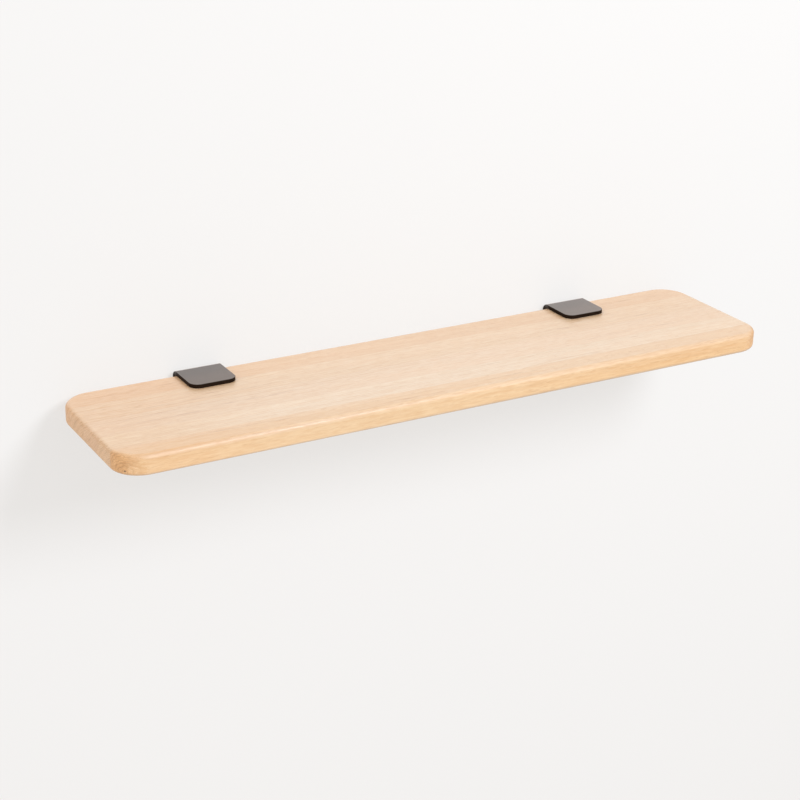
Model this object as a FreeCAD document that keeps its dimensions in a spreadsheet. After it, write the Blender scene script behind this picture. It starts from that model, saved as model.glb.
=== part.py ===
import FreeCAD
import Part
import Sketcher
import os
from FreeCAD import Vector

# Bracket wall shelf: an oak board of five glued staves, clasped at its rear edge by two bent-steel brackets.
# Millimetres. X runs along the board, the front faces -Y, the wall is the plane Y = 0, Z = 0 is the
# middle of the board's thickness and X = 0 the middle of its length.

# Driving dimensions
SIZES = {
    "board_length": 900,
    "board_depth": 206,
    "board_thickness": 26,
    "board_corner_radius": 36.5,  # seen from above
    "board_edge_radius": 6,  # rounding of the top and bottom edges
    "front_stave_width": 32,
    "second_stave_width": 36,
    "middle_stave_width": 46.5,
    "fourth_stave_width": 47,  # the rear stave takes the rest of the depth
    "bracket_spacing": 540,  # between the middles of the two brackets
    "bracket_width": 60,
    "plate_thickness": 5,
    "plate_corner_radius": 12,  # front corners of tab and arm
    "plate_edge_bevel": 0.5,  # eased cut edges
    "tab_depth": 55,  # over the board, from its rear edge
    "arm_depth": 140,  # under the board, from its rear edge
    "slip_clearance": 0.2,  # between the board's top and the tab
    "rear_gap": 2,  # between the board's rear edge and the back plate, room for the wall-screw heads
    "bend_clearance": 1,  # the inner bend is this much tighter than the board's edge rounding
    "wall_hole_diameter": 5.5,
    "wall_hole_spacing": 30,
    "countersink_diameter": 10.5,
    "countersink_angle": 90,
    "rear_screw_setback": 24,  # from the board's rear edge
    "front_screw_setback": 114,
    "screw_diameter": 4,
    "screw_length": 20,  # under the head
    "screw_tip_length": 5,
    "head_diameter": 8,
    "head_height": 2.8,
    "head_rim_bevel": 1.2,
    "recess_span": 4.4,
    "recess_slot": 1.1,
    "recess_depth": 1.5,
    "arm_hole_clearance": 0.5,  # on the diameter
    "pilot_clearance": 0.1,  # on the diameter
    "pilot_extra_depth": 1,  # past the screw's tip
}
STAVES = ["front_stave", "second_stave", "middle_stave", "fourth_stave", "rear_stave"]
SIDES = {"left": -1, "right": 1}
SCREW_ROWS = ["rear", "front"]

# Places that several pieces share
BOARD_END = "sizes.board_length / 2"
PLATE_FRONT = "-sizes.plate_thickness"
BOARD_REAR = "-sizes.plate_thickness - sizes.rear_gap"
BOARD_FRONT = "-sizes.plate_thickness - sizes.rear_gap - sizes.board_depth"
BOARD_BOTTOM = "-sizes.board_thickness / 2"
BRACKET_OUT = "sizes.bracket_spacing / 2"
ARM_BOTTOM = "-sizes.board_thickness / 2 - sizes.plate_thickness"
ARM_TIP = "-sizes.plate_thickness - sizes.rear_gap - sizes.arm_depth"
TAB_BOTTOM = "sizes.board_thickness / 2 + sizes.slip_clearance"
TAB_TOP = "sizes.board_thickness / 2 + sizes.slip_clearance + sizes.plate_thickness"
TAB_TIP = "-sizes.plate_thickness - sizes.rear_gap - sizes.tab_depth"
INNER_BEND = "sizes.board_edge_radius - sizes.bend_clearance"
OUTER_BEND = "sizes.board_edge_radius - sizes.bend_clearance + sizes.plate_thickness"
SCREW_BACK = {row: f"-({BOARD_REAR}) + sizes.{row}_screw_setback" for row in SCREW_ROWS}

doc = FreeCAD.newDocument("bracket_wall_shelf")
sheet = doc.addObject("Spreadsheet::Sheet", "sizes")
for number, (alias, value) in enumerate(SIZES.items(), start=1):
    sheet.set(f"A{number}", alias)
    sheet.set(f"B{number}", str(value))
    sheet.setAlias(f"B{number}", alias)
doc.recompute()


def value_of(expression):
    """Work out an expression now, for first positions and for picking edges."""
    return float(sheet.evalExpression(expression))


def bind(item, **expressions):
    """Bind properties to expressions; a double underscore in a name stands for a dot."""
    for name, expression in expressions.items():
        item.setExpression(name.replace("__", "."), expression)


def new_body(name):
    body = doc.addObject("PartDesign::Body", name)
    body.Label = name
    return body


def new_sketch(body, plane_role, name, offset=None):
    """Make a sketch on one of the body's own origin planes, moved along its normal."""
    sketch = body.newObject("Sketcher::SketchObject", name)
    plane = [item for item in body.Origin.OriginFeatures if item.Role == plane_role][0]
    sketch.AttachmentSupport = [(plane, "")]
    sketch.MapMode = "FlatFace"
    if offset:
        bind(sketch, AttachmentOffset__Base__z=offset)
    return sketch


def dimension(sketch, kind, references, expression):
    """Add a driving constraint whose value is an expression."""
    index = sketch.addConstraint(Sketcher.Constraint(kind, *references, value_of(expression)))
    sketch.setExpression(f"Constraints[{index}]", expression)


def draw_outline(sketch, corners):
    """Draw a closed outline, anticlockwise, through corners (x, y) or, rounded, (x, y, radius).

    Rounded corners are square ones. Returns the lines, each from its corner to the next one.
    """
    points = [Vector(value_of(corner[0]), value_of(corner[1]), 0) for corner in corners]
    radii = [value_of(corner[2]) if len(corner) == 3 else 0 for corner in corners]
    count = len(points)
    ways = [(points[(i + 1) % count] - points[i]).normalize() for i in range(count)]
    lines = []
    for i in range(count):
        after = (i + 1) % count
        start = points[i] + ways[i] * radii[i]
        end = points[after] - ways[i] * radii[after]
        lines.append(sketch.addGeometry(Part.LineSegment(start, end), False))
        if abs(ways[i].x) < 1e-6:
            sketch.addConstraint(Sketcher.Constraint("Vertical", lines[i]))
        elif abs(ways[i].y) < 1e-6:
            sketch.addConstraint(Sketcher.Constraint("Horizontal", lines[i]))
    for i in range(count):
        if radii[i] == 0:
            sketch.addConstraint(Sketcher.Constraint("Coincident", lines[i - 1], 2, lines[i], 1))
            continue
        inward = ways[i] - ways[i - 1]
        middle = points[i] + inward * radii[i]
        start = points[i] - ways[i - 1] * radii[i]
        end = points[i] + ways[i] * radii[i]
        bulge = middle - inward.normalize() * radii[i]
        arc = sketch.addGeometry(Part.Arc(start, bulge, end), False)
        turns_left = ways[i - 1].cross(ways[i]).z > 0
        first, last = (1, 2) if turns_left else (2, 1)
        sketch.addConstraint(Sketcher.Constraint("Tangent", lines[i - 1], 2, arc, first))
        sketch.addConstraint(Sketcher.Constraint("Tangent", arc, last, lines[i], 1))
        dimension(sketch, "Radius", [arc], corners[i][2])
    return lines


def draw_circle(sketch, diameter, sign=0, across=None, down=None):
    """Draw a circle, to the left (sign -1) or right (1) of the origin by across, and below it by down."""
    x = sign * value_of(across) if across else 0
    y = -value_of(down) if down else 0
    circle = sketch.addGeometry(Part.Circle(Vector(x, y, 0), Vector(0, 0, 1), value_of(diameter) / 2), False)
    dimension(sketch, "Diameter", [circle], diameter)
    if across:
        ends = [-1, 1, circle, 3] if sign > 0 else [circle, 3, -1, 1]
        dimension(sketch, "DistanceX", ends, across)
    else:
        sketch.addConstraint(Sketcher.Constraint("PointOnObject", circle, 3, -2))
    if down:
        dimension(sketch, "DistanceY", [circle, 3, -1, 1], down)
    else:
        sketch.addConstraint(Sketcher.Constraint("PointOnObject", circle, 3, -1))


def sharp_edges(shape):
    """Name the edges where two faces meet at an angle."""
    names = []
    for number, edge in enumerate(shape.Edges, start=1):
        middle = edge.valueAt((edge.FirstParameter + edge.LastParameter) / 2)
        normals = []
        for face in shape.ancestorsOfType(edge, Part.Face):
            normals.append(face.normalAt(*face.Surface.parameter(middle)))
        if len(normals) == 2 and normals[0].getAngle(normals[1]) > 0.5:
            names.append(f"Edge{number}")
    return names


def pad_both_ways(body, sketch, name, length):
    pad = body.newObject("PartDesign::Pad", name)
    pad.Profile = sketch
    pad.SideType = "Symmetric"
    bind(pad, Length=length)
    doc.recompute()
    return pad


def dress_edges(body, kind, base, name, edges, **size):
    """Round or bevel edges of a feature; kind is Fillet or Chamfer."""
    dressed = body.newObject(f"PartDesign::{kind}", name)
    dressed.Base = (base, edges)
    bind(dressed, **size)
    doc.recompute()
    return dressed


def cut_upwards(body, sketch, name, depth):
    """Cut a pocket upwards from a sketch, and make sure that it cuts something."""
    before = body.Shape.Volume
    pocket = body.newObject("PartDesign::Pocket", name)
    pocket.Profile = sketch
    pocket.Reversed = True
    bind(pocket, Length=depth)
    doc.recompute()
    if body.Shape.Volume >= before:
        raise RuntimeError(f"{name} cuts nothing")


# The glued board, shaped and drilled as one panel
board = new_body("board")
board_outline = new_sketch(board, "XY_Plane", "board_outline")
front, right, rear, left = draw_outline(board_outline, [
    ("-" + BOARD_END, BOARD_FRONT, "sizes.board_corner_radius"),
    (BOARD_END, BOARD_FRONT, "sizes.board_corner_radius"),
    (BOARD_END, BOARD_REAR, "sizes.board_corner_radius"),
    ("-" + BOARD_END, BOARD_REAR, "sizes.board_corner_radius"),
])
dimension(board_outline, "DistanceX", [left, 1, -1, 1], BOARD_END)
dimension(board_outline, "DistanceX", [-1, 1, right, 1], BOARD_END)
dimension(board_outline, "DistanceY", [rear, 1, -1, 1], "sizes.plate_thickness + sizes.rear_gap")
dimension(board_outline, "DistanceY", [front, 1, rear, 1], "sizes.board_depth")
board_pad = pad_both_ways(board, board_outline, "board_pad", "sizes.board_thickness")
board_edges = sharp_edges(board_pad.Shape)
dress_edges(board, "Fillet", board_pad, "board_rounding", board_edges, Radius="sizes.board_edge_radius")
pilot_marks = new_sketch(board, "XY_Plane", "pilot_marks", BOARD_BOTTOM)
for sign in SIDES.values():
    for row in SCREW_ROWS:
        pilot_diameter = "sizes.screw_diameter + sizes.pilot_clearance"
        draw_circle(pilot_marks, pilot_diameter, sign, BRACKET_OUT, SCREW_BACK[row])
pilot_depth = "sizes.screw_length - sizes.plate_thickness + sizes.pilot_extra_depth"
cut_upwards(board, pilot_marks, "pilot_holes", pilot_depth)

# Its five staves, front to rear, divided at the glue lines
pieces = []
glue_line = BOARD_FRONT
for stave in STAVES:
    start = glue_line
    if stave == "rear_stave":
        end = f"{BOARD_REAR} + sizes.board_edge_radius"
    else:
        end = f"{start} + sizes.{stave}_width"
        glue_line = end
    if stave == "front_stave":
        start = f"{start} - sizes.board_edge_radius"
    box = doc.addObject("Part::Box", f"{stave}_box")
    bind(
        box,
        Length="sizes.board_length + 2 * sizes.board_edge_radius",
        Width=f"({end}) - ({start})",
        Height="sizes.board_thickness + 2 * sizes.board_edge_radius",
        Placement__Base__x=f"-{BOARD_END} - sizes.board_edge_radius",
        Placement__Base__y=start,
        Placement__Base__z=f"{BOARD_BOTTOM} - sizes.board_edge_radius",
    )
    piece = doc.addObject("Part::Common", stave)
    piece.Label = stave
    piece.Base = board
    piece.Tool = box
    pieces.append(piece)
doc.recompute()

# Brackets: one plate each, bent into a tab over the board, a back plate and a longer arm under the board
for side, sign in SIDES.items():
    bracket = new_body(f"{side}_bracket")
    bind(bracket, Placement__Base__x=f"{sign} * {BRACKET_OUT}")

    profile = new_sketch(bracket, "YZ_Plane", f"{side}_profile")
    arm_bottom, back, tab_top, tab_tip, tab_bottom, inner_back, arm_top, arm_tip = draw_outline(profile, [
        (ARM_TIP, ARM_BOTTOM),
        ("0", ARM_BOTTOM, OUTER_BEND),
        ("0", TAB_TOP, OUTER_BEND),
        (TAB_TIP, TAB_TOP),
        (TAB_TIP, TAB_BOTTOM),
        (PLATE_FRONT, TAB_BOTTOM, INNER_BEND),
        (PLATE_FRONT, BOARD_BOTTOM, INNER_BEND),
        (ARM_TIP, BOARD_BOTTOM),
    ])
    profile.addConstraint(Sketcher.Constraint("PointOnObject", back, 1, -2))
    dimension(profile, "DistanceX", [inner_back, 1, back, 1], "sizes.plate_thickness")
    dimension(profile, "DistanceX", [tab_tip, 1, inner_back, 1], "sizes.tab_depth + sizes.rear_gap")
    dimension(profile, "DistanceX", [arm_tip, 1, inner_back, 1], "sizes.arm_depth + sizes.rear_gap")
    dimension(profile, "DistanceY", [tab_tip, 2, tab_tip, 1], "sizes.plate_thickness")
    dimension(profile, "DistanceY", [arm_tip, 2, arm_tip, 1], "sizes.plate_thickness")
    dimension(profile, "DistanceY", [arm_top, 1, -1, 1], "sizes.board_thickness / 2")
    dimension(profile, "DistanceY", [-1, 1, tab_bottom, 1], TAB_BOTTOM)
    plate = pad_both_ways(bracket, profile, f"{side}_plate", "sizes.bracket_width")

    tip_corners = []
    for number, edge in enumerate(plate.Shape.Edges, start=1):
        box = edge.BoundBox
        upright = box.XLength < 1e-6 and box.YLength < 1e-6
        if upright and box.YMax < value_of(f"{PLATE_FRONT} - ({INNER_BEND})"):
            tip_corners.append(f"Edge{number}")
    corner_radius = "sizes.plate_corner_radius"
    cut_plate = dress_edges(bracket, "Fillet", plate, f"{side}_corners", tip_corners, Radius=corner_radius)
    cut_edges = sharp_edges(cut_plate.Shape)
    dress_edges(bracket, "Chamfer", cut_plate, f"{side}_bevels", cut_edges, Size="sizes.plate_edge_bevel")

    wall_marks = new_sketch(bracket, "XZ_Plane", f"{side}_wall_marks", "sizes.plate_thickness")
    for hole_sign in SIDES.values():
        draw_circle(wall_marks, "sizes.wall_hole_diameter", hole_sign, "sizes.wall_hole_spacing / 2")
    doc.recompute()
    wall_holes = bracket.newObject("PartDesign::Hole", f"{side}_wall_holes")
    wall_holes.Profile = wall_marks
    wall_holes.ThreadType = "None"
    wall_holes.DepthType = "ThroughAll"
    wall_holes.HoleCutType = "Countersink"
    wall_holes.HoleCutCustomValues = True
    bind(
        wall_holes,
        Diameter="sizes.wall_hole_diameter",
        HoleCutDiameter="sizes.countersink_diameter",
        HoleCutCountersinkAngle="sizes.countersink_angle",
    )
    doc.recompute()

    arm_marks = new_sketch(bracket, "XY_Plane", f"{side}_arm_marks", ARM_BOTTOM)
    for row in SCREW_ROWS:
        draw_circle(arm_marks, "sizes.screw_diameter + sizes.arm_hole_clearance", down=SCREW_BACK[row])
    cut_upwards(bracket, arm_marks, f"{side}_arm_holes", "sizes.plate_thickness")
    pieces.append(bracket)

# Wood screws, up through the arms into the board: pan heads with a cross recess, seated at the body's origin
for side, sign in SIDES.items():
    for row in SCREW_ROWS:
        name = f"{side}_{row}_screw"
        screw = new_body(name)
        bind(
            screw,
            Placement__Base__x=f"{sign} * {BRACKET_OUT}",
            Placement__Base__y=f"-({SCREW_BACK[row]})",
            Placement__Base__z=ARM_BOTTOM,
        )
        half = new_sketch(screw, "XZ_Plane", f"{name}_half")
        head_face, rim, head_side, seat, shank, tip, axis = draw_outline(half, [
            ("0", "-sizes.head_height"),
            ("sizes.head_diameter / 2 - sizes.head_rim_bevel", "-sizes.head_height"),
            ("sizes.head_diameter / 2", "sizes.head_rim_bevel - sizes.head_height"),
            ("sizes.head_diameter / 2", "0"),
            ("sizes.screw_diameter / 2", "0"),
            ("sizes.screw_diameter / 2", "sizes.screw_length - sizes.screw_tip_length"),
            ("0", "sizes.screw_length"),
        ])
        half.addConstraint(Sketcher.Constraint("PointOnObject", axis, 1, -2))
        half.addConstraint(Sketcher.Constraint("PointOnObject", seat, 1, -1))
        dimension(half, "DistanceY", [head_face, 1, -1, 1], "sizes.head_height")
        dimension(half, "DistanceX", [-1, 1, head_side, 2], "sizes.head_diameter / 2")
        dimension(half, "DistanceX", [rim, 1, rim, 2], "sizes.head_rim_bevel")
        dimension(half, "DistanceY", [rim, 1, rim, 2], "sizes.head_rim_bevel")
        dimension(half, "DistanceX", [-1, 1, shank, 1], "sizes.screw_diameter / 2")
        dimension(half, "DistanceY", [-1, 1, axis, 1], "sizes.screw_length")
        dimension(half, "DistanceY", [tip, 1, tip, 2], "sizes.screw_tip_length")
        turned = screw.newObject("PartDesign::Revolution", f"{name}_turned")
        turned.Profile = half
        turned.ReferenceAxis = (half, ["V_Axis"])
        turned.Angle = 360
        doc.recompute()

        cross = new_sketch(screw, "XY_Plane", f"{name}_cross", "-sizes.head_height")
        span = "sizes.recess_span / 2"
        slot = "sizes.recess_slot / 2"
        lines = draw_outline(cross, [
            (f"-{slot}", f"-{span}"),
            (slot, f"-{span}"),
            (slot, f"-{slot}"),
            (span, f"-{slot}"),
            (span, slot),
            (slot, slot),
            (slot, span),
            (f"-{slot}", span),
            (f"-{slot}", slot),
            (f"-{span}", slot),
            (f"-{span}", f"-{slot}"),
            (f"-{slot}", f"-{slot}"),
        ])
        for line, reach in [(lines[1], slot), (lines[3], span), (lines[5], slot)]:
            dimension(cross, "DistanceX", [-1, 1, line, 1], reach)
        for line, reach in [(lines[7], slot), (lines[9], span), (lines[11], slot)]:
            dimension(cross, "DistanceX", [line, 1, -1, 1], reach)
        for line, reach in [(lines[4], slot), (lines[6], span), (lines[8], slot)]:
            dimension(cross, "DistanceY", [-1, 1, line, 1], reach)
        for line, reach in [(lines[10], slot), (lines[0], span), (lines[2], slot)]:
            dimension(cross, "DistanceY", [line, 1, -1, 1], reach)
        cut_upwards(screw, cross, f"{name}_recess", "sizes.recess_depth")
        pieces.append(screw)

# Check everything, then write the pieces
doc.recompute()
for item in doc.Objects:
    if "Invalid" in item.State or "Error" in item.State:
        raise RuntimeError(f"{item.Name} did not build: {item.State}")
for piece in pieces:
    if piece.Shape.isNull() or not piece.Shape.isValid() or piece.Shape.Volume <= 0:
        raise RuntimeError(f"{piece.Label} has no sound shape")
os.makedirs("parts", exist_ok=True)
for piece in pieces:
    piece.Shape.exportStep(f"parts/{piece.Label}.step")
    print(piece.Label, round(piece.Shape.Volume), "mm3")
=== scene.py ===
import bpy
import bmesh
import math
from mathutils import Matrix, Vector


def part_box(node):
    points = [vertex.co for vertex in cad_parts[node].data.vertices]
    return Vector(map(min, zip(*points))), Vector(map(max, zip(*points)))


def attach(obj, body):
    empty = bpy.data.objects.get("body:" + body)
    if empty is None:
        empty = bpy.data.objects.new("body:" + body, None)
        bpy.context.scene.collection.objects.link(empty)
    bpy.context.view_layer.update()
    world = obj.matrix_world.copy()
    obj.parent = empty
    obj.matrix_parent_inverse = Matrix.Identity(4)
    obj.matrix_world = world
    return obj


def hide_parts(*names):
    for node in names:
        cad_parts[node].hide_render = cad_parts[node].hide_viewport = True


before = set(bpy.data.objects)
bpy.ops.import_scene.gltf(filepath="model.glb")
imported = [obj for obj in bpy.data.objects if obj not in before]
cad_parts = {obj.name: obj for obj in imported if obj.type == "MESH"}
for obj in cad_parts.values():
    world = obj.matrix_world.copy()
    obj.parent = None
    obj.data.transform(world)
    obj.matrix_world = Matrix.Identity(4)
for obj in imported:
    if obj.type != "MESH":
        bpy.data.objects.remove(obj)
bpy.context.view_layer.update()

mm = 0.001  # sizes of shapes are written in millimetres
metre = 1000  # in millimetres
past = 1 * mm  # how far a drill or cutter runs past a face
along = 0.9  # a face looks along an axis if its normal has more than this of it
staveNames = ["front_stave", "second_stave", "middle_stave", "fourth_stave", "rear_stave"]
screwNames = ["left_rear_screw", "left_front_screw", "right_rear_screw", "right_front_screw"]


# small helpers for modelling

def deselectAll():
    if bpy.context.object and bpy.context.object.mode != "OBJECT":
        bpy.ops.object.mode_set(mode="OBJECT")
    bpy.ops.object.select_all(action="DESELECT")


def workOn(piece):
    deselectAll()
    piece.select_set(True)
    bpy.context.view_layer.objects.active = piece


def nameIt(name):
    piece = bpy.context.object
    piece.name = name
    piece.data.name = name
    return piece


def addBlock(name, low, high):
    # a cube between two corners, with its place and size in the mesh
    deselectAll()
    low, high = Vector(low), Vector(high)
    bpy.ops.mesh.primitive_cube_add(size=1, location=(low + high) / 2, scale=high - low)
    bpy.ops.object.transform_apply(location=True, rotation=True, scale=True)
    return nameIt(name)


def addRound(name, start, end, startRadius, endRadius, sides=64):
    # a cylinder or cone with its axis between two points
    deselectAll()
    start, end = Vector(start), Vector(end)
    bpy.ops.mesh.primitive_cone_add(
        vertices=sides,
        radius1=startRadius,
        radius2=endRadius,
        depth=(end - start).length,
        location=(start + end) / 2,
        rotation=(end - start).to_track_quat("Z", "Y").to_euler(),
    )
    bpy.ops.object.transform_apply(location=True, rotation=True, scale=True)
    return nameIt(name)


def copyOf(piece, name):
    workOn(piece)
    bpy.ops.object.duplicate(linked=False)
    return nameIt(name)


def moveMesh(piece, step):
    workOn(piece)
    bpy.ops.transform.translate(value=step)
    bpy.ops.object.transform_apply(location=True, rotation=True, scale=True)


def pick(piece, kind, test):
    # in edit mode, select only the edges or faces that pass the test
    bpy.ops.mesh.select_mode(type=kind)
    bpy.ops.mesh.select_all(action="DESELECT")
    mesh = bmesh.from_edit_mesh(piece.data)
    for part in mesh.edges if kind == "EDGE" else mesh.faces:
        part.select_set(bool(test(part)))
    bmesh.update_edit_mesh(piece.data)


def pull(step):
    # extrude what is selected
    bpy.ops.mesh.extrude_region_move(TRANSFORM_OT_translate={"value": step})


def near(a, b, room=1e-6):
    return abs(a - b) < room


def combine(piece, other, how):
    workOn(piece)
    join = piece.modifiers.new("join", "BOOLEAN")
    join.operation = how
    join.solver = "EXACT"
    join.object = other
    bpy.ops.object.modifier_apply(modifier=join.name)
    bpy.data.objects.remove(other, do_unlink=True)


def finishSurface(piece, angle=40):
    # merge doubles, face outwards, shade smooth with the large faces kept flat
    workOn(piece)
    bpy.ops.object.mode_set(mode="EDIT")
    bpy.ops.mesh.select_all(action="SELECT")
    bpy.ops.mesh.remove_doubles(threshold=1e-6)
    bpy.ops.mesh.normals_make_consistent(inside=False)
    bpy.ops.object.mode_set(mode="OBJECT")
    bpy.ops.object.shade_smooth_by_angle(angle=math.radians(angle))
    flat = piece.modifiers.new("flat", "WEIGHTED_NORMAL")
    flat.keep_sharp = True
    bpy.ops.object.modifier_apply(modifier=flat.name)


def axisOf(screw):
    low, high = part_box(screw)
    return (low + high) / 2


# oak board: one blank with the glued panel's outline, ripped at the glue lines

boardLook = {
    "cornerRadius": 36.5 * mm,
    "cornerSteps": 28,
    "edgeRadius": 6.0 * mm,
    "edgeSteps": 10,
    "pilotRadius": 2.05 * mm,
    "pilotDepth": 16.5 * mm,
    "pilotSides": 32,
}


def boardBox():
    boxes = [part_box(name) for name in staveNames]
    low = Vector([min(box[0][axis] for box in boxes) for axis in range(3)])
    high = Vector([max(box[1][axis] for box in boxes) for axis in range(3)])
    return low, high


def makeBoardBlank():
    look = boardLook
    low, high = boardBox()
    blank = addBlock("board_blank", low, high)
    bpy.ops.object.mode_set(mode="EDIT")
    pick(blank, "EDGE", lambda edge: not near(edge.verts[0].co.z, edge.verts[1].co.z))
    bpy.ops.mesh.bevel(offset=look["cornerRadius"], segments=look["cornerSteps"], affect="EDGES")
    pick(blank, "EDGE", lambda edge: near(edge.verts[0].co.z, edge.verts[1].co.z))
    bpy.ops.mesh.bevel(offset=look["edgeRadius"], segments=look["edgeSteps"], affect="EDGES")
    bpy.ops.object.mode_set(mode="OBJECT")
    return blank


def ripStave(blank, node):
    look = boardLook
    stave = copyOf(blank, node + "_oak")
    low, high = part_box(node)
    boardLow, boardHigh = boardBox()
    bpy.ops.object.mode_set(mode="EDIT")
    for cut, side, outside in ((low.y, 1, boardLow.y), (high.y, -1, boardHigh.y)):
        if near(cut, outside):
            continue
        bpy.ops.mesh.select_all(action="SELECT")
        bpy.ops.mesh.bisect(
            plane_co=(0, cut, 0), plane_no=(0, side, 0), use_fill=True, clear_inner=True, threshold=1e-7
        )
    bpy.ops.object.mode_set(mode="OBJECT")
    for screw in screwNames:
        axis = axisOf(screw)
        if low.y < axis.y < high.y:
            bottom = (axis.x, axis.y, low.z - past)
            top = (axis.x, axis.y, low.z + look["pilotDepth"])
            radius = look["pilotRadius"]
            drill = addRound("drill", bottom, top, radius, radius, look["pilotSides"])
            combine(stave, drill, "DIFFERENCE")
    finishSurface(stave)
    return stave


boardBlank = makeBoardBlank()
staves = {node: ripStave(boardBlank, node) for node in staveNames}
bpy.data.objects.remove(boardBlank, do_unlink=True)
print("board ripped into", len(staves), "staves")


# bent steel brackets: one is bent up from flat bar, the other is its copy

bracketLook = {
    "plate": 5.0 * mm,
    "innerBend": 5.0 * mm,
    "bendSteps": 16,
    "tabDepth": 57.0 * mm,  # from the back plate's front face
    "cornerRadius": 12.0 * mm,
    "cornerSteps": 18,
    "sharpAngle": 60,  # degrees; sharper edges are bevelled
    "edgeBevel": 0.7 * mm,
    "edgeSteps": 4,
    "wallHoleSpacing": 30.0 * mm,
    "wallHoleRadius": 2.75 * mm,
    "sinkRadius": 5.25 * mm,
    "armHoleRadius": 2.25 * mm,
    "armHoleSides": 48,
    "cutEdgeUp": 0.6,  # a cut edge looks up or down by less than this
    "cutEdgeSide": 0.3,  # and sideways by more than this, except at a tip
}


def makeBracket(side):
    look = bracketLook
    low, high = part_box(side + "_bracket")
    middle = (low.x + high.x) / 2
    plate = look["plate"]
    outer = look["innerBend"] + plate
    bendStart = high.y - outer
    tabTip = high.y - plate - look["tabDepth"]
    bracket = addBlock(side + "_bracket_steel", low, (high.x, bendStart, low.z + plate))
    bpy.ops.object.mode_set(mode="EDIT")
    # the arm's rear face is spun up into the back, pulled up, spun forward and pulled out as the tab
    pick(bracket, "FACE", lambda face: face.normal.y > along)
    bend = {"steps": look["bendSteps"], "angle": math.pi / 2, "axis": (-1, 0, 0)}
    bpy.ops.mesh.spin(center=(middle, bendStart, low.z + outer), **bend)
    pull((0, 0, high.z - low.z - 2 * outer))
    bpy.ops.mesh.spin(center=(middle, bendStart, high.z - outer), **bend)
    pull((0, tabTip - bendStart, 0))
    # round the four tip corners, then take the sharpness off every cut edge
    pick(bracket, "EDGE", lambda edge: near(edge.verts[0].co.x, edge.verts[1].co.x)
         and (all(near(corner.co.y, low.y) for corner in edge.verts)
              or all(near(corner.co.y, tabTip) for corner in edge.verts)))
    bpy.ops.mesh.bevel(offset=look["cornerRadius"], segments=look["cornerSteps"], affect="EDGES")
    bpy.ops.mesh.select_all(action="SELECT")
    bpy.ops.mesh.normals_make_consistent(inside=False)
    sharp = math.radians(look["sharpAngle"])
    pick(bracket, "EDGE", lambda edge: edge.is_manifold and edge.calc_face_angle() > sharp)
    bpy.ops.mesh.bevel(offset=look["edgeBevel"], segments=look["edgeSteps"], affect="EDGES")
    bpy.ops.object.mode_set(mode="OBJECT")
    front = high.y - plate
    for x in (middle - look["wallHoleSpacing"] / 2, middle + look["wallHoleSpacing"] / 2):
        radius, sink = look["wallHoleRadius"], look["sinkRadius"]
        drill = addRound("drill", (x, high.y + past, 0), (x, front - past, 0), radius, radius)
        combine(bracket, drill, "DIFFERENCE")
        deep = front + sink - radius
        drill = addRound("countersink", (x, deep, 0), (x, front - past, 0), radius, sink + past)
        combine(bracket, drill, "DIFFERENCE")
    for screw in screwNames:
        axis = axisOf(screw)
        if low.x < axis.x < high.x:
            bottom = (axis.x, axis.y, low.z - past)
            top = (axis.x, axis.y, low.z + plate + past)
            radius = look["armHoleRadius"]
            drill = addRound("drill", bottom, top, radius, radius, look["armHoleSides"])
            combine(bracket, drill, "DIFFERENCE")
    finishSurface(bracket)
    return bracket


leftBracket = makeBracket("left")
rightBracket = copyOf(leftBracket, "right_bracket_steel")
moveMesh(rightBracket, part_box("right_bracket")[0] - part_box("left_bracket")[0])
brackets = {"left_bracket": leftBracket, "right_bracket": rightBracket}
print("brackets bent:", ", ".join(brackets))


# wood screws that hold the board on the lower arms, heads down

screwLook = {
    "headHeight": 2.8 * mm,
    "rimRadius": 1.5 * mm,
    "rimSteps": 6,
    "neckLength": 4.5 * mm,  # plain part that runs through the arm
    "coreRadius": 1.4 * mm,
    "threadRadius": 2.0 * mm,
    "threadSteps": 24,  # in one turn
    "pitch": 1.6 * mm,
    "tipLength": 5.0 * mm,
    "threadOnTip": 0.2,  # share of the tip that the thread runs on to
    "slotSpan": 4.4 * mm,
    "slotWidth": 1.1 * mm,
    "slotDepth": 1.5 * mm,
    "smoothAngle": 35,
    "turns": [12, 55, 33, 71],  # where each one stopped turning, degrees
}


def makeThread(x, y, bottom, top):
    # a three-cornered ridge wound up the core and closed at both ends
    look = screwLook
    height = look["threadRadius"] - look["coreRadius"]
    deselectAll()
    bpy.ops.mesh.primitive_circle_add(vertices=3, radius=height, rotation=(math.pi / 2, math.pi / 2, 0))
    bpy.ops.object.transform_apply(location=True, rotation=True, scale=True)
    thread = nameIt("thread")
    bpy.ops.object.mode_set(mode="EDIT")
    bpy.ops.mesh.select_all(action="SELECT")
    bpy.ops.transform.translate(value=(look["threadRadius"] - height, 0, 0))
    bpy.ops.object.mode_set(mode="OBJECT")
    wind = thread.modifiers.new("wind", "SCREW")
    wind.axis = "Z"
    wind.screw_offset = look["pitch"]
    wind.iterations = int((top - bottom) / look["pitch"])
    wind.steps = look["threadSteps"]
    wind.render_steps = look["threadSteps"]
    bpy.ops.object.modifier_apply(modifier=wind.name)
    bpy.ops.object.mode_set(mode="EDIT")
    bpy.ops.mesh.select_all(action="SELECT")
    bpy.ops.mesh.fill_holes(sides=3)
    bpy.ops.mesh.select_all(action="SELECT")
    bpy.ops.mesh.normals_make_consistent(inside=False)
    bpy.ops.transform.translate(value=(x, y, bottom))
    bpy.ops.object.mode_set(mode="OBJECT")
    return thread


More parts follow.
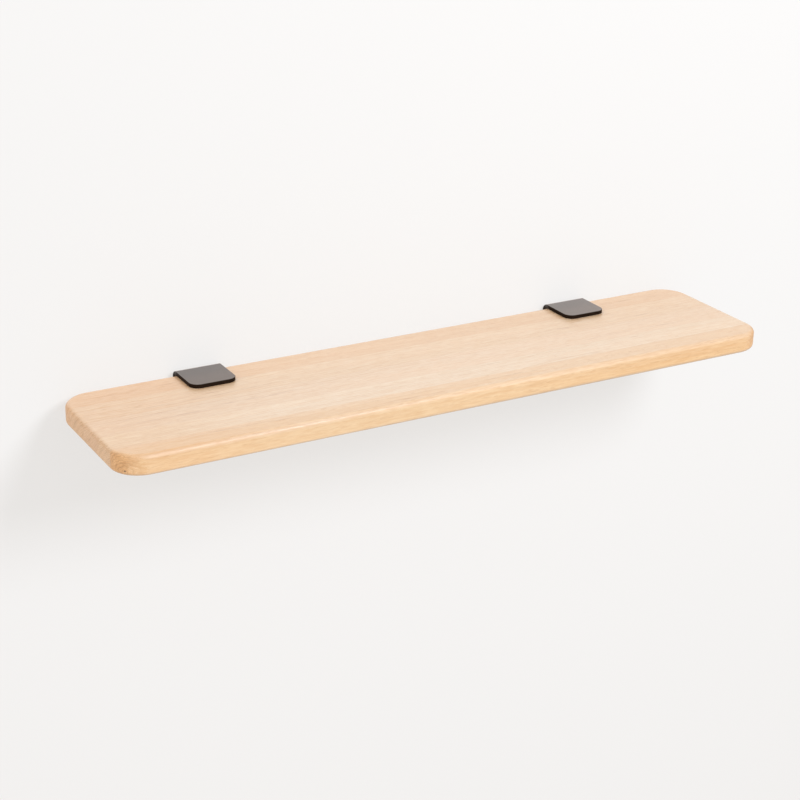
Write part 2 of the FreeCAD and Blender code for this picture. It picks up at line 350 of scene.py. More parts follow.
def makeScrew(node):
    look = screwLook
    low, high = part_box(node)
    x, y = axisOf(node).xy
    headRadius = (high.x - low.x) / 2
    seat = low.z + look["headHeight"]
    neckTop = seat + look["neckLength"]
    tipStart = high.z - look["tipLength"]
    # head: a disc with its lower rim rounded over
    screw = addRound(node + "_steel", (x, y, low.z), (x, y, seat), headRadius, headRadius)
    bpy.ops.object.mode_set(mode="EDIT")
    pick(screw, "EDGE", lambda edge: all(near(corner.co.z, low.z) for corner in edge.verts))
    bpy.ops.mesh.bevel(offset=look["rimRadius"], segments=look["rimSteps"], affect="EDGES")
    # the seat is inset and pulled up as neck, core and tip
    pick(screw, "FACE", lambda face: face.normal.z > along)
    bpy.ops.mesh.inset(thickness=headRadius - look["threadRadius"])
    pull((0, 0, neckTop - seat))
    bpy.ops.mesh.inset(thickness=look["threadRadius"] - look["coreRadius"])
    pull((0, 0, tipStart - neckTop))
    pull((0, 0, high.z - tipStart))
    bpy.ops.mesh.merge(type="CENTER")
    bpy.ops.object.mode_set(mode="OBJECT")
    thread = makeThread(x, y, neckTop, tipStart + look["threadOnTip"] * look["tipLength"])
    combine(screw, thread, "UNION")
    # the cross slot: one cut across, one along
    span, width = look["slotSpan"], look["slotWidth"]
    for wideX, wideY in ((span, width), (width, span)):
        slotLow = (x - wideX / 2, y - wideY / 2, low.z - past)
        slotHigh = (x + wideX / 2, y + wideY / 2, low.z + look["slotDepth"])
        combine(screw, addBlock("slot", slotLow, slotHigh), "DIFFERENCE")
    finishSurface(screw, look["smoothAngle"])
    return screw


def turnScrew(screw, node, degrees):
    workOn(screw)
    bpy.ops.object.mode_set(mode="EDIT")
    bpy.ops.mesh.select_all(action="SELECT")
    bpy.ops.transform.rotate(value=math.radians(degrees), orient_axis="Z", center_override=axisOf(node))
    bpy.ops.object.mode_set(mode="OBJECT")


firstScrew = makeScrew(screwNames[0])
screws = {screwNames[0]: firstScrew}
for node in screwNames[1:]:
    screws[node] = copyOf(firstScrew, node + "_steel")
    moveMesh(screws[node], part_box(node)[0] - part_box(screwNames[0])[0])
for node, degrees in zip(screwNames, screwLook["turns"]):
    turnScrew(screws[node], node, degrees)
print("screws turned and threaded:", len(screws))


# small helpers for materials, whose lengths are in millimetres

def srgb(red, green, blue):
    # 0-255 picture values to the linear colour that sockets take
    channels = []
    for value in (red, green, blue):
        share = value / 255
        channels.append(share / 12.92 if share <= 0.04045 else ((share + 0.055) / 1.055) ** 2.4)
    return (*channels, 1.0)


def feed(tree, node, inputs):
    # link what comes from another node, set what is a plain value
    for key, value in inputs.items():
        if isinstance(value, bpy.types.NodeSocket):
            tree.links.new(value, node.inputs[key])
        else:
            node.inputs[key].default_value = value


def addNode(tree, kind, inputs=None, **settings):
    node = tree.nodes.new(kind)
    for name, value in settings.items():
        setattr(node, name, value)
    feed(tree, node, inputs or {})
    return node


def calc(tree, operation, a, b=0.0, c=0.0):
    return addNode(tree, "ShaderNodeMath", {0: a, 1: b, 2: c}, operation=operation).outputs[0]


def chain(tree, operation, values):
    result = values[0]
    for value in values[1:]:
        result = calc(tree, operation, result, value)
    return result


def total(tree, *values):
    return chain(tree, "ADD", values)


def product(tree, *values):
    return chain(tree, "MULTIPLY", values)


def distance(tree, value, middle):
    return calc(tree, "ABSOLUTE", calc(tree, "SUBTRACT", value, middle))


def blend(tree, share, atNone, atFull):
    return calc(tree, "MULTIPLY_ADD", share, atFull - atNone, atNone)


def around(tree, share, middle, spread):
    return blend(tree, share, middle - spread / 2, middle + spread / 2)


def step(tree, value, low, high, toLow=0.0, toHigh=1.0):
    # soft step: toLow where value is at low, toHigh where it is at high
    inputs = {"Value": value, "From Min": low, "From Max": high, "To Min": toLow, "To Max": toHigh}
    return addNode(tree, "ShaderNodeMapRange", inputs, interpolation_type="SMOOTHSTEP").outputs["Result"]


def mixColor(tree, share, a, b, how="MIX"):
    inputs = {0: share, 6: a, 7: b}
    return addNode(tree, "ShaderNodeMix", inputs, data_type="RGBA", blend_type=how).outputs[2]


def noise(tree, place, lengths, detail=2.0, roughness=0.5, output=0):
    # noise whose features are about as long as lengths
    scaled = addNode(tree, "ShaderNodeVectorMath", {0: place, 1: lengths}, operation="DIVIDE").outputs[0]
    inputs = {"Vector": scaled, "Scale": 1.0, "Detail": detail, "Roughness": roughness}
    return addNode(tree, "ShaderNodeTexNoise", inputs).outputs[output]


def bump(tree, height, strength, depth):
    inputs = {"Height": height, "Strength": strength, "Distance": depth * mm}
    return addNode(tree, "ShaderNodeBump", inputs).outputs[0]


def splitUp(tree, vector):
    return addNode(tree, "ShaderNodeSeparateXYZ", {0: vector}).outputs


def newMaterial(name):
    # returns place in millimetres
    material = bpy.data.materials.new(name)
    material.use_nodes = True
    tree = material.node_tree
    place = addNode(tree, "ShaderNodeTexCoord").outputs["Object"]
    place = addNode(tree, "ShaderNodeVectorMath", {0: place, 3: metre}, operation="SCALE").outputs[0]
    return material, tree, tree.nodes["Principled BSDF"], place


def wear(piece, material):
    piece.data.materials.clear()
    piece.data.materials.append(material)


# oak: growth rings round each stave's own heart, with pores, rays and fibres

oakLook = {
    "pale": srgb(245, 215, 181),
    "deep": srgb(236, 196, 152),
    "streak": srgb(214, 166, 118),
    "vein": srgb(196, 146, 106),
    "pore": srgb(190, 142, 98),
    "ray": srgb(250, 226, 196),
    "glue": srgb(200, 158, 118),
    "heart": srgb(92, 58, 36),
    # tints, by which a colour is multiplied
    "fleckDark": (0.945, 0.90, 0.85, 1.0),
    "fleckPale": (1.03, 1.055, 1.085, 1.0),
    "endDark": (0.86, 0.83, 0.78, 1.0),
    "endPale": (1.08, 1.09, 1.06, 1.0),
    "eye": (1.14, 1.23, 1.36, 1.0),  # a pale patch beside the heart
    "middle": (1.01, 1.025, 1.05, 1.0),  # the board is paler in its middle
    "frontLeft": (1.06, 1.075, 1.06, 1.0),  # its front face is brighter by painted light, and more orange to the right
    "frontRight": (1.035, 0.985, 0.885, 1.0),
    # how much of each feature shows
    "poreShare": 0.45,
    "latePores": 0.2,  # share of the pores that late wood has
    "rayShare": 0.3,
    "otherStreaks": 0.3,  # share of the streaks that paler years have
    "zoneCore": 0.2,  # share of the streak zone's reach where the streaks are full
    "zoneOutside": 0.25,  # share of the streaks outside the zone
    "endRings": 0.6,
    "endYears": 0.5,  # how much the years differ in tone in the end grain
    "lateTone": 0.55,
    "toneSpread": 0.10,  # by fibres, and by patches
    # soft steps: from, to, and for some the values at both
    "early": (0.4, 0.0),  # share of a year's growth
    "late": (0.2, 0.95),
    "darkYears": (0.55, 1.0),
    "middleReach": (330, 120),  # on both sides of middleAt
    "glueLine": (0.4, 0.05, 0.0, 0.15),
    "heartSpot": (1.4, 0.6, 0.0, 0.78),
    "eyeReach": (7.5, 4.0),
    "rightEnd": (0.1, 0.6),  # how far the right end turns sideways
    "leftEndFull": -0.96,  # and the left one where its end grain is full
    "middleAt": -60,
    "yearSpread": 1.6,  # how far a year's edge strays, in years
    "raggedSpread": 1.2,  # and how much further in the end grain
    "rayRadius": 70,  # where the rays are as wide as grainLook says
    "veinWobble": 5.0,
    "veinFade": 0.3,  # share of a vein's length
    # satin oil, duller in pores, in flecks and on end grain
    "roughness": 0.43,
    "fibreRough": 0.10,
    "poreRough": 0.12,
    "endRough": 0.12,
    "fleckCoat": 0.8,
    "endCoat": 0.25,  # the oil sinks into the end grain
    "fibreHeight": 0.5,
    "poreHeight": -0.8,
    "bump": (0.25, 0.06),
    "shader": {"Specular IOR Level": 0.6, "Coat Roughness": 0.27},
}
grainLook = {
    # how long, wide and high the features of a noise are, its detail, its roughness,
    # and for some the soft step that turns it into a share
    "wander": ((340, 80, 80), 2.0, 0.5),
    "uneven": ((900, 9, 9), 1.0, 0.5),
    "fibre": ((120, 0.9, 0.9), 3.0, 0.6),
    "streak": ((260, 2.6, 2.6), 3.0, 0.6, (0.48, 0.72)),
    "patch": ((500, 45, 45), 1.0, 0.5),
    "pore": ((9, 0.36, 0.36), 0.0, 0.5, (0.58, 0.7)),
    "ray": ((16, 0.55, 30), 1.0, 0.5, (0.6, 0.72)),  # along the board, round the heart and away from it
    "wobble": ((70, 30, 30), 2.0, 0.5),
    "dash": ((26, 1.3, 1.3), 1.0, 0.5, (0.45, 0.68)),
    "fleck": ((17, 1.9, 1.9), 2.0, 0.6, (0.3, 0.7)),
    "ragged": ((60, 4, 4), 2.0, 0.5),
    "speck": ((4, 4, 4), 2.0, 0.6, (0.3, 0.7, 0.0, 0.5)),
}
# where a tint shows, as from and to of a value: x along the board, z above its middle,
# radius from the heart, or how far a face is turned to the right, back or up
onFront = [("back", -0.85, -0.98)]
frontToRight = [("x", -100, 330), ("up", 0.28, 0.05)]
boardTints = [
    ((1.0, 0.98, 0.95, 1.0), [("x", 240, 400)]),  # warmer towards the right end
    ((1.0, 0.95, 0.84, 1.0), [("radius", 30, 16)]),  # and close round the heart
]
faceTints = [
    # a paler band low down on the right of the front
    ((1.03, 1.06, 1.09, 1.0), [("z", -2, -5), ("x", 150, 300)]),
    # painted highlight: the front's upper rounding is whiter on the left
    ((0.98, 1.02, 1.14, 1.0), [("up", 0.97, 0.75), ("up", -0.05, 0.15), ("back", -0.3, -0.6),
                               ("right", -0.35, -0.05), ("x", 60, -330)]),
    # painted shade: the lower edge is darker on the right
    ((0.88, 0.86, 0.84, 1.0), [("up", 0.0, -0.3), ("up", -1.0, -0.9), ("x", -300, 250)]),
    # painted shade: the underside is darker
    ((0.72, 0.67, 0.59, 1.0), [("up", -0.2, -0.8)]),
]
staveLook = {
    # heart: the tree's centre, behind the board's front edge and above its middle
    # lean: how far the heart moves in y and z over one metre; ring: width of a year
    # wander: how far the heart strays; shift: where in the noise the stave was cut
    # rings: how much the years differ in tone; bands: how much early and late wood differ
    # streakZone: where streaks are plain, its middle and reach; paleMiddle: how pale its middle is
    # leftEnd: the stretch over which it grows warmer to the left; eye: where a pale patch is
    # end: how far its left end turns sideways where the end grain begins to show, and the end grain's tint
    # veins: rows of dark dashes from (x, behind the front edge) to another point, their width and darkness
    "front_stave": {
        "heart": (15.2, -8.7), "lean": (9, -4), "ring": 3.6, "wander": 5.0, "shift": (310, -210, 0),
        "tint": (1.0, 0.97, 0.945, 1.0), "leftEnd": (-200, -400, (1.0, 0.95, 0.90, 1.0)),
        "paleMiddle": 1.0, "rings": 0.3, "bands": 0.5, "streaks": 0.2, "streakZone": (-250, 500),
        "end": (-0.1, (0.93, 0.815, 0.67, 1.0)), "eye": (-433.4, 5.9, -4.5),
        "veins": [((-370, 29), (-190, 20), 3.0, 0.5), ((-140, 13), (-10, 10), 3.0, 0.5),
                  ((20, 20), (110, 20), 2.5, 0.5)],
    },
    "second_stave": {
        "heart": (-21, -78), "lean": (14, 6), "ring": 2.1, "wander": 9.0, "shift": (1320, -170, 9),
        "tint": (1.02, 1.055, 1.12, 1.0), "leftEnd": (-220, -430, (0.985, 0.91, 0.82, 1.0)),
        "paleMiddle": 1.0, "rings": 0.6, "bands": 1.0, "streaks": 0.25, "streakZone": (70, 120),
        "end": (-0.3, (0.91, 0.835, 0.76, 1.0)),
        "veins": [((30, 62), (104, 62), 1.6, 0.9), ((112, 62), (150, 61.5), 1.4, 0.7),
                  ((120, 40), (220, 36), 4.0, 0.5), ((232, 61), (300, 61.5), 1.6, 0.6)],
    },
    "middle_stave": {
        "heart": (168, 88), "lean": (-10, 12), "ring": 2.6, "wander": 12.0, "shift": (2140, -280, 31),
        "tint": (1.0, 0.99, 1.015, 1.0), "leftEnd": (-300, -440, (1.0, 0.945, 0.89, 1.0)),
        "paleMiddle": 1.0, "rings": 0.6, "bands": 1.0, "streaks": 0.3, "streakZone": (-330, 260),
        "end": (-0.3, (0.91, 0.835, 0.76, 1.0)),
        "veins": [((-442, 87), (-240, 88), 4.0, 0.6), ((-320, 94), (-170, 96), 4.0, 0.6),
                  ((-440, 101), (-330, 104), 3.0, 0.5), ((190, 78), (300, 84), 4.0, 0.5),
                  ((310, 80), (392, 82), 3.0, 0.4)],
    },
    "fourth_stave": {
        "heart": (52, -92), "lean": (24, 0), "ring": 2.4, "wander": 12.0, "shift": (3260, -195, -42),
        "tint": (1.0, 0.975, 0.96, 1.0), "leftEnd": (-220, -400, (1.0, 0.945, 0.89, 1.0)),
        "paleMiddle": 0.6, "rings": 0.6, "bands": 1.0, "streaks": 0.3, "streakZone": (-330, 200),
        "end": (-0.3, (0.92, 0.85, 0.78, 1.0)),
        "veins": [((-410, 132), (-250, 135), 2.0, 0.8), ((-400, 124), (-180, 127), 5.0, 0.45),
                  ((170, 130), (330, 122), 5.0, 0.4), ((300, 124), (366, 125), 2.0, 0.5)],
    },
    "rear_stave": {
        "heart": (244, 64), "lean": (-8, -10), "ring": 2.0, "wander": 8.0, "shift": (4390, -90, 77),
        "tint": (0.995, 0.91, 0.835, 1.0), "leftEnd": (-100, -340, (1.0, 0.945, 0.89, 1.0)),
        "paleMiddle": 0.5, "rings": 0.6, "bands": 1.0, "streaks": 0.3, "streakZone": (-380, 200),
        "end": (-0.3, (0.92, 0.86, 0.81, 1.0)),
        "veins": [((-420, 180), (-230, 186), 5.0, 0.4), ((290, 184), (440, 178), 5.0, 0.4)],
    },
}


def grainOf(tree, place, name):
    lengths, detail, roughness, *reach = grainLook[name]
    value = noise(tree, place, lengths, detail, roughness)
    return step(tree, value, *reach[0]) if reach else value


def shareOf(tree, grain, ranges):
    return product(tree, *[step(tree, grain[name], low, high) for name, low, high in ranges])


def tintParts(tree, grain, color, tints):
    for tint, ranges in tints:
        color = mixColor(tree, shareOf(tree, grain, ranges), color, tint, "MULTIPLY")
    return color


def startGrain(tree, place, stave):
    # where a point is in the board, y behind its front edge, and in the wood, and how its face is turned
    boardLow, boardHigh = boardBox()
    toFrontEdge = (0, -boardLow.y / mm, 0)
    place = addNode(tree, "ShaderNodeVectorMath", {0: place, 1: toFrontEdge}).outputs[0]
    wood = addNode(tree, "ShaderNodeVectorMath", {0: place, 1: stave["shift"]}).outputs[0]
    x, y, z = splitUp(tree, place)
    right, back, up = splitUp(tree, addNode(tree, "ShaderNodeNewGeometry").outputs["Normal"])
    return {"place": place, "wood": wood, "x": x, "y": y, "z": z, "right": right, "back": back, "up": up}


def growRings(tree, grain, stave):
    # distance from the heart, which leans and wanders along the board
    wander = noise(tree, grain["wood"], *grainLook["wander"], output="Color")
    bends = addNode(tree, "ShaderNodeSeparateColor", {0: wander}).outputs
    away = []
    for axis, value in enumerate((grain["y"], grain["z"])):
        straight = calc(tree, "MULTIPLY_ADD", grain["x"], -stave["lean"][axis] / metre, value)
        bent = calc(tree, "MULTIPLY_ADD", bends[axis], stave["wander"], straight)
        away.append(calc(tree, "SUBTRACT", bent, stave["heart"][axis] + stave["wander"] / 2))
    across = addNode(tree, "ShaderNodeCombineXYZ", {1: away[0], 2: away[1]}).outputs[0]
    grain["radius"] = addNode(tree, "ShaderNodeVectorMath", {0: across}, operation="LENGTH").outputs["Value"]
    grain["turned"] = calc(tree, "ARCTAN2", away[1], away[0])
    # years of uneven width, each with a tone of its own
    years = calc(tree, "DIVIDE", grain["radius"], stave["ring"])
    uneven = grainOf(tree, grain["wood"], "uneven")
    grain["years"] = calc(tree, "MULTIPLY_ADD", uneven, oakLook["yearSpread"], years)
    year = {"W": calc(tree, "FLOOR", grain["years"])}
    tone = addNode(tree, "ShaderNodeTexWhiteNoise", year, noise_dimensions="1D")
    grain["yearTone"] = tone.outputs["Value"]
    grain["partOfYear"] = calc(tree, "FRACT", grain["years"])


def makeVein(tree, x, y, wobble, vein):
    # how dark one row of dashes may be: a soft band between two points that fades out at both ends
    (startX, startY), (endX, endY), width, dark = vein
    fade = oakLook["veinFade"] * (endX - startX)
    slope = (endY - startY) / (endX - startX)
    middle = calc(tree, "MULTIPLY_ADD", x, slope, startY - slope * startX)
    off = distance(tree, y, total(tree, middle, wobble))
    ends = product(tree, step(tree, x, startX, startX + fade), step(tree, x, endX, endX - fade))
    return product(tree, step(tree, off, width, 0.0, 0.0, dark), ends)


def growFibres(tree, grain, stave):
    look, wood, x = oakLook, grain["wood"], grain["x"]
    for name in ("fibre", "patch", "fleck"):
        grain[name] = grainOf(tree, wood, name)
    early = step(tree, grain["partOfYear"], *look["early"])
    grain["pore"] = product(tree, grainOf(tree, wood, "pore"), blend(tree, early, look["latePores"], 1.0))
    turned = product(tree, grain["turned"], look["rayRadius"])
    rayPlace = addNode(tree, "ShaderNodeCombineXYZ", {0: x, 1: turned, 2: grain["radius"]}).outputs[0]
    grain["ray"] = grainOf(tree, rayPlace, "ray")
    # streaks in the darker years, and rows of dashes
    zoneMiddle, reach = stave["streakZone"]
    offZone = distance(tree, x, zoneMiddle)
    inZone = step(tree, offZone, reach, look["zoneCore"] * reach, look["zoneOutside"], 1.0)
    darkYear = step(tree, grain["yearTone"], *look["darkYears"])
    yearShare = blend(tree, darkYear, look["otherStreaks"], 1.0)
    grain["streak"] = product(tree, grainOf(tree, wood, "streak"), inZone, yearShare)
    wobble = around(tree, grainOf(tree, wood, "wobble"), 0.0, look["veinWobble"])
    veins = total(tree, *[makeVein(tree, x, grain["y"], wobble, vein) for vein in stave["veins"]])
    grain["vein"] = calc(tree, "MINIMUM", product(tree, veins, grainOf(tree, wood, "dash")), 1.0)


def colorGrain(tree, grain, stave):
    look = oakLook
    late = around(tree, step(tree, grain["partOfYear"], *look["late"]), 0.5, stave["bands"])
    lateTone = around(tree, grain["yearTone"], look["lateTone"], stave["rings"])
    color = mixColor(tree, product(tree, late, lateTone), look["pale"], look["deep"])
    shares = {"streak": stave["streaks"], "vein": 1.0, "pore": look["poreShare"], "ray": look["rayShare"]}
    for name, share in shares.items():
        color = mixColor(tree, product(tree, grain[name], share), color, look[name])
    fibreTone = around(tree, grain["fibre"], 1.0, look["toneSpread"])
    tone = total(tree, fibreTone, around(tree, grain["patch"], 0.0, look["toneSpread"]))
    fleckTint = mixColor(tree, grain["fleck"], look["fleckPale"], look["fleckDark"])
    for tint in (tone, fleckTint, stave["tint"]):
        color = mixColor(tree, 1.0, color, tint, "MULTIPLY")
    warmFrom, warmTo, leftEnd = stave["leftEnd"]
    color = tintParts(tree, grain, color, [(leftEnd, [("x", warmFrom, warmTo)]), *boardTints])
    offMiddle = distance(tree, grain["x"], look["middleAt"])
    inMiddle = step(tree, offMiddle, *look["middleReach"], 0.0, stave["paleMiddle"])
    return mixColor(tree, inMiddle, color, look["middle"], "MULTIPLY")


def addGlueLines(tree, grain, color, node):
    low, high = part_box(node)
    boardLow, boardHigh = boardBox()
    for edge, outside in ((low.y, boardLow.y), (high.y, boardHigh.y)):
        if near(edge, outside):
            continue
        gap = distance(tree, grain["y"], (edge - boardLow.y) / mm)
        color = mixColor(tree, step(tree, gap, *oakLook["glueLine"]), color, oakLook["glue"])
    return color


def tintFaces(tree, grain, color):
    # paints light and shade by how a face is turned: a brighter front, a whiter upper rounding, a darker
    # lower edge and underside
    toRight = shareOf(tree, grain, frontToRight)
    frontTint = mixColor(tree, toRight, oakLook["frontLeft"], oakLook["frontRight"])
    return tintParts(tree, grain, color, [(frontTint, onFront), *faceTints])


def addEndGrain(tree, grain, color, stave):
    # darker wood with ragged rings and specks
    look = oakLook
    endFrom, endColor = stave["end"]
    leftEnd = step(tree, grain["right"], endFrom, look["leftEndFull"])
    rightEnd = step(tree, grain["right"], *look["rightEnd"])
    grain["end"] = calc(tree, "MAXIMUM", leftEnd, rightEnd)
    ragged = grainOf(tree, grain["wood"], "ragged")
    ragged = calc(tree, "MULTIPLY_ADD", ragged, look["raggedSpread"], grain["years"])
    early = step(tree, calc(tree, "FRACT", ragged), *look["early"])
    color = mixColor(tree, product(tree, grain["end"], early, look["endRings"]), color, look["pore"])
    specks = grainOf(tree, grain["wood"], "speck")
    specks = calc(tree, "MULTIPLY_ADD", grain["yearTone"], look["endYears"], specks)
    speckTint = mixColor(tree, specks, look["endPale"], look["endDark"])
    for tint in (endColor, speckTint):
        color = mixColor(tree, grain["end"], color, tint, "MULTIPLY")
    return color


def addHeart(tree, grain, color, stave):
    look = oakLook
    color = mixColor(tree, step(tree, grain["radius"], *look["heartSpot"]), color, look["heart"])
    if "eye" in stave:
        inputs = {0: grain["place"], 1: stave["eye"]}
        offEye = addNode(tree, "ShaderNodeVectorMath", inputs, operation="DISTANCE").outputs["Value"]
        color = mixColor(tree, step(tree, offEye, *look["eyeReach"]), color, look["eye"], "MULTIPLY")
    return color


def makeOak(node):
    look, stave = oakLook, staveLook[node]
    material, tree, shader, place = newMaterial(node + "_oak")
    grain = startGrain(tree, place, stave)
    growRings(tree, grain, stave)
    growFibres(tree, grain, stave)
    color = colorGrain(tree, grain, stave)
    color = addGlueLines(tree, grain, color, node)
    color = tintFaces(tree, grain, color)
    color = addEndGrain(tree, grain, color, stave)
    color = addHeart(tree, grain, color, stave)
    rough = around(tree, grain["fibre"], look["roughness"], look["fibreRough"])
    rough = calc(tree, "MULTIPLY_ADD", grain["pore"], look["poreRough"], rough)
    rough = calc(tree, "MULTIPLY_ADD", grain["end"], look["endRough"], rough)
    endCoat = step(tree, grain["end"], 0.0, 1.0, 1.0, look["endCoat"])
    height = product(tree, grain["fibre"], look["fibreHeight"])
    height = calc(tree, "MULTIPLY_ADD", grain["pore"], look["poreHeight"], height)
    feed(tree, shader, {
        "Base Color": color,
        "Roughness": rough,
        "Coat Weight": product(tree, blend(tree, grain["fleck"], 1.0, look["fleckCoat"]), endCoat),
        "Normal": bump(tree, height, *look["bump"]),
        **look["shader"],
    })
    return material


for node, stave in staves.items():
    wear(stave, makeOak(node))
print("oak grown for", ", ".join(staves))


# black powder coat: fine orange peel with a slight warm mottle, thinner and duller on the plate's cut edges,
# with painted light towards the tab's tip and on the upper bend

coatLook = {
    "black": (0.002, 0.0015, 0.001, 1.0),
    "worn": (0.007, 0.006, 0.005, 1.0),
    # where light is painted on the coat, from and to in y, from and to in z, and its tone there
    "rubbedAndPaintedLight": (-20, -50, 0, 5, (0.034, 0.019, 0.011, 1.0)),  # painted light: the tab is browner and lighter towards its tip
    "roughness": 0.30,
    # the film is dull seen straight on and bright at a low angle
    "shader": {
        "Specular Tint": (0.0, 0.0, 0.0, 1.0),
        "Coat Weight": 1.0,
        "Coat IOR": 1.3,
        "Coat Roughness": 0.22,
        "Sheen Weight": 0.64,
        "Sheen Roughness": 0.4,
        "Sheen Tint": (1.0, 0.79, 0.69, 1.0),
    },
}
edgeLook = {
    "black": (0.0165, 0.009, 0.0055, 1.0),
    "worn": (0.0265, 0.015, 0.0095, 1.0),
    "rubbedAndPaintedLight": (-16, -8, 12, 18, (0.12, 0.115, 0.11, 1.0)),  # painted highlight: the upper bend is greyer
    "roughness": 0.42,
    "shader": {
        "Specular IOR Level": 0.0,
        "Coat Weight": 0.3,
        "Coat IOR": 1.22,
        "Coat Roughness": 0.3,
    },
}
filmLook = {
    # what both coats share
    "mottle": ((6, 6, 6), 3.0),  # size and detail
    "grit": ((0.5, 0.5, 0.5), 1.0),
    "peel": ((0.8, 0.8, 0.8), 1.0),
    "wornRange": (0.3, 0.75),  # of the mottle
    "wornByGrit": (0.5, 1.1),
    "mottleRough": 0.10,
    "gritRough": 0.06,
    "gritHeight": 0.4,
    "bump": (0.2, 0.04),
}


def makeCoat(name, look):
    film = filmLook
    material, tree, shader, place = newMaterial(name)
    mottle, grit, peel = (noise(tree, place, *film[key]) for key in ("mottle", "grit", "peel"))
    worn = product(tree, step(tree, mottle, *film["wornRange"]), blend(tree, grit, *film["wornByGrit"]))
    color = mixColor(tree, worn, look["black"], look["worn"])
    # painted light: the coat is lighter over a stretch of y and z
    fromY, toY, fromZ, toZ, tone = look["rubbedAndPaintedLight"]
    spot = splitUp(tree, place)
    rubbedAndPaintedLight = product(tree, step(tree, spot[1], fromY, toY), step(tree, spot[2], fromZ, toZ))
    rough = around(tree, mottle, look["roughness"], film["mottleRough"])
    height = total(tree, peel, product(tree, grit, film["gritHeight"]))
    feed(tree, shader, {
        "Base Color": mixColor(tree, rubbedAndPaintedLight, color, tone),
        "Roughness": calc(tree, "MULTIPLY_ADD", grit, film["gritRough"], rough),
        "Normal": bump(tree, height, *film["bump"]),
        **look["shader"],
    })
    return material


def coatEdges(node, bracket, material):
    # the cut edges are the upright faces that look sideways or stand at a tip
    look = bracketLook
    low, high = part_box(node)
    tips = (low.y, high.y - look["plate"] - look["tabDepth"])
    bracket.data.materials.append(material)
    for face in bracket.data.polygons:
        atTip = any(near(face.center.y, tip, look["edgeBevel"]) for tip in tips)
        sideways = abs(face.normal.x) > look["cutEdgeSide"]
        if abs(face.normal.z) < look["cutEdgeUp"] and (sideways or atTip):
            face.material_index = 1


powderCoat = makeCoat("black_powder_coat", coatLook)
edgeCoat = makeCoat("black_edge_coat", edgeLook)
for node, bracket in brackets.items():
    wear(bracket, powderCoat)
    coatEdges(node, bracket, edgeCoat)


# black oxide on the screws, rubbed a little on the heads

oxideLook = {
    "black": (0.020, 0.020, 0.022, 1.0),
    "rubbedAndPaintedLight": (0.10, 0.098, 0.095, 1.0),
    "cloud": ((1.6, 1.6, 1.6), 3.0),  # size and detail
    "brush": ((0.25, 2.2, 0.25), 2.0),
    "rubbedRange": (0.42, 0.78),  # of the cloud
    "metallic": 0.8,
    "roughness": 0.38,
    "cloudRough": 0.2,
    "bump": (0.2, 0.02),
}


def makeOxide():
    look = oxideLook
    material, tree, shader, place = newMaterial("black_oxide")
    cloud, brush = (noise(tree, place, *look[key]) for key in ("cloud", "brush"))
    rubbedAndPaintedLight = product(tree, step(tree, cloud, *look["rubbedRange"]), brush)
    feed(tree, shader, {
        "Base Color": mixColor(tree, rubbedAndPaintedLight, look["black"], look["rubbedAndPaintedLight"]),
        "Metallic": look["metallic"],
        "Roughness": around(tree, cloud, look["roughness"], look["cloudRough"]),
        "Normal": bump(tree, total(tree, cloud, brush), *look["bump"]),
    })
    return material


blackOxide = makeOxide()
for screw in screws.values():
    wear(screw, blackOxide)
print("steel coated")

for pieces, slot in ((staves, "oak"), (brackets, "bracket_black"), (screws, "screw_black")):
    for node, piece in pieces.items():
        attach(piece, "root")
        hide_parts(node)


# white wall and pale floor, seen from the room's side only so that other views see past them; in metres

stageLook = {
    "wallGap": 0.5 * mm,  # behind the brackets' backs
    "floorHeight": -1.1,
    "floorDepth": 1.5,  # in front of the wall
    "reach": 7.0,
    "glow": (0.655, 0.637, 0.620, 1.0),  # steady white of wall and floor
    "paint": (0.18, 0.18, 0.18, 1.0),  # the rest comes from the lamps, so that shadows stay pale
    "toneLengths": (900, 900, 900),  # millimetres
    "toneSpread": 0.02,
}


def makeStagePaint():
    look = stageLook
    material, tree, shader, place = newMaterial("stage_paint")
    tree.nodes.remove(shader)
    path = addNode(tree, "ShaderNodeLightPath").outputs
    seen = total(tree, path["Is Camera Ray"], path["Is Glossy Ray"], path["Is Transmission Ray"])
    behind = addNode(tree, "ShaderNodeNewGeometry").outputs["Backfacing"]
    share = product(tree, calc(tree, "MINIMUM", seen, 1.0), calc(tree, "SUBTRACT", 1.0, behind))
    tone = around(tree, noise(tree, place, look["toneLengths"]), 1.0, look["toneSpread"])
    glow = addNode(tree, "ShaderNodeEmission", {"Color": look["glow"], "Strength": tone}).outputs[0]
    paint = addNode(tree, "ShaderNodeBsdfDiffuse", {"Color": look["paint"]}).outputs[0]
    white = addNode(tree, "ShaderNodeAddShader", {0: glow, 1: paint}).outputs[0]
    clear = addNode(tree, "ShaderNodeBsdfTransparent").outputs[0]
    surface = addNode(tree, "ShaderNodeMixShader", {0: share, 1: clear, 2: white}).outputs[0]
    feed(tree, tree.nodes["Material Output"], {"Surface": surface})
    return material


def makeStage():
    look = stageLook
    paint = makeStagePaint()
    wide, deep = 2 * look["reach"], look["floorDepth"]
    wall = {"location": (0, look["wallGap"], 0), "rotation": (math.pi / 2, 0, 0)}
    floor = {"location": (0, -deep / 2, look["floorHeight"])}
    stage = []
    for name, setup, share in (("wall", wall, 1.0), ("floor", floor, deep / wide)):
        deselectAll()
        bpy.ops.mesh.primitive_plane_add(size=wide, **setup)
        piece = nameIt(name)
        piece.scale.y = share
        bpy.ops.object.transform_apply(location=True, rotation=True, scale=True)
        wear(piece, paint)
        stage.append(piece)
    return stage


stage = makeStage()


# even white room with one soft lamp, up in front and to the right; a second one there only lights the stage

lightLook = {
    "room": 0.88,  # strength that lights the pieces
    "ground": 0.35,  # what gloss shows of the room below the horizon
    "horizon": (-0.35, 0.15),  # where the ground turns into the room
    "lampFrom": (0.293, -0.765, 0.574),
    "lampDistance": 3.0,
    "lampSize": 1.1,
    "lampWatts": 18,
    "stageWatts": 80,
    "stageColor": (0.89, 0.936, 1.0),  # a little cool, so that the wall's shadow is warmer than the wall
}


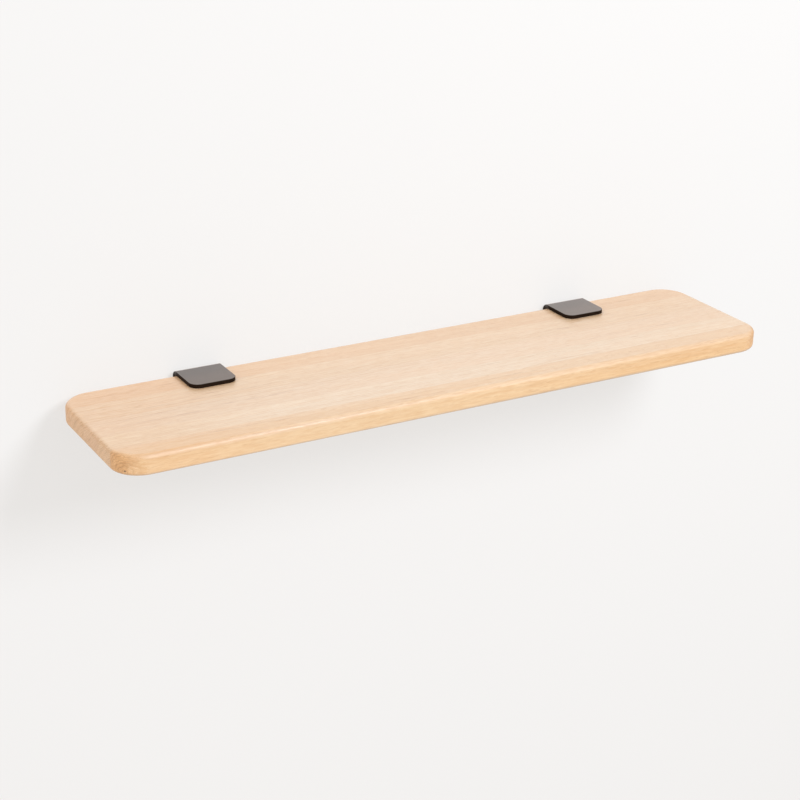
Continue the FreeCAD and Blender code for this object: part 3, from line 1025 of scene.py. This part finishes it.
def makeRoom():
    look = lightLook
    world = bpy.data.worlds.new("room")
    world.use_nodes = True
    bpy.context.scene.world = world
    tree = world.node_tree
    path = addNode(tree, "ShaderNodeLightPath").outputs
    height = splitUp(tree, addNode(tree, "ShaderNodeTexCoord").outputs["Generated"])[2]
    mirrored = step(tree, height, *look["horizon"], look["ground"], 1.0)
    strength = step(tree, path["Is Glossy Ray"], 0.0, 1.0, look["room"], mirrored)
    seen = calc(tree, "MAXIMUM", path["Is Camera Ray"], path["Is Transmission Ray"])
    strength = step(tree, seen, 0.0, 1.0, strength, 1.0)
    feed(tree, tree.nodes["Background"], {"Color": (1, 1, 1, 1), "Strength": strength})


def makeLamp(name, watts):
    look = lightLook
    aim = Vector(look["lampFrom"]).normalized()
    low, high = boardBox()
    bpy.ops.object.light_add(
        type="AREA",
        location=(low + high) / 2 + aim * look["lampDistance"],
        rotation=aim.to_track_quat("Z", "Y").to_euler(),
    )
    lamp = nameIt(name)
    lamp.data.shape = "DISK"
    lamp.data.size = look["lampSize"]
    lamp.data.energy = watts
    return lamp


makeRoom()
makeLamp("soft_lamp", lightLook["lampWatts"])
stageLamp = makeLamp("stage_lamp", lightLook["stageWatts"])
stageLamp.data.color = lightLook["stageColor"]
lit = bpy.data.collections.new("lit_by_stage_lamp")
for piece in stage:
    lit.objects.link(piece)
stageLamp.light_linking.receiver_collection = lit
bpy.context.scene.view_settings.view_transform = "Standard"
print("wall, floor and lamps set")


# camera at the photograph's view, fitted to the outlines of the board and of both tabs

cameraLook = {
    "place": (-1.0622, -1.8920, 0.8189),
    "turn": 29.764,  # degrees to the right of straight ahead
    "tilt": -22.48,
    "roll": 1.008,
    "lens": 80.398,
    "sensor": 36,
}


def makeCamera():
    look = cameraLook
    turn, tilt, roll = (math.radians(look[key]) for key in ("turn", "tilt", "roll"))
    ahead = Vector((math.sin(turn) * math.cos(tilt), math.cos(turn) * math.cos(tilt), math.sin(tilt)))
    level = Vector((math.cos(turn), -math.sin(turn), 0))
    upright = level.cross(ahead)
    right = math.cos(roll) * level + math.sin(roll) * upright
    up = math.cos(roll) * upright - math.sin(roll) * level
    deselectAll()
    bpy.ops.object.camera_add(location=look["place"])
    camera = nameIt("camera")
    camera.rotation_euler = Matrix((right, up, -ahead)).transposed().to_euler()
    camera.data.lens = look["lens"]
    camera.data.sensor_width = look["sensor"]
    bpy.context.scene.camera = camera


makeCamera()
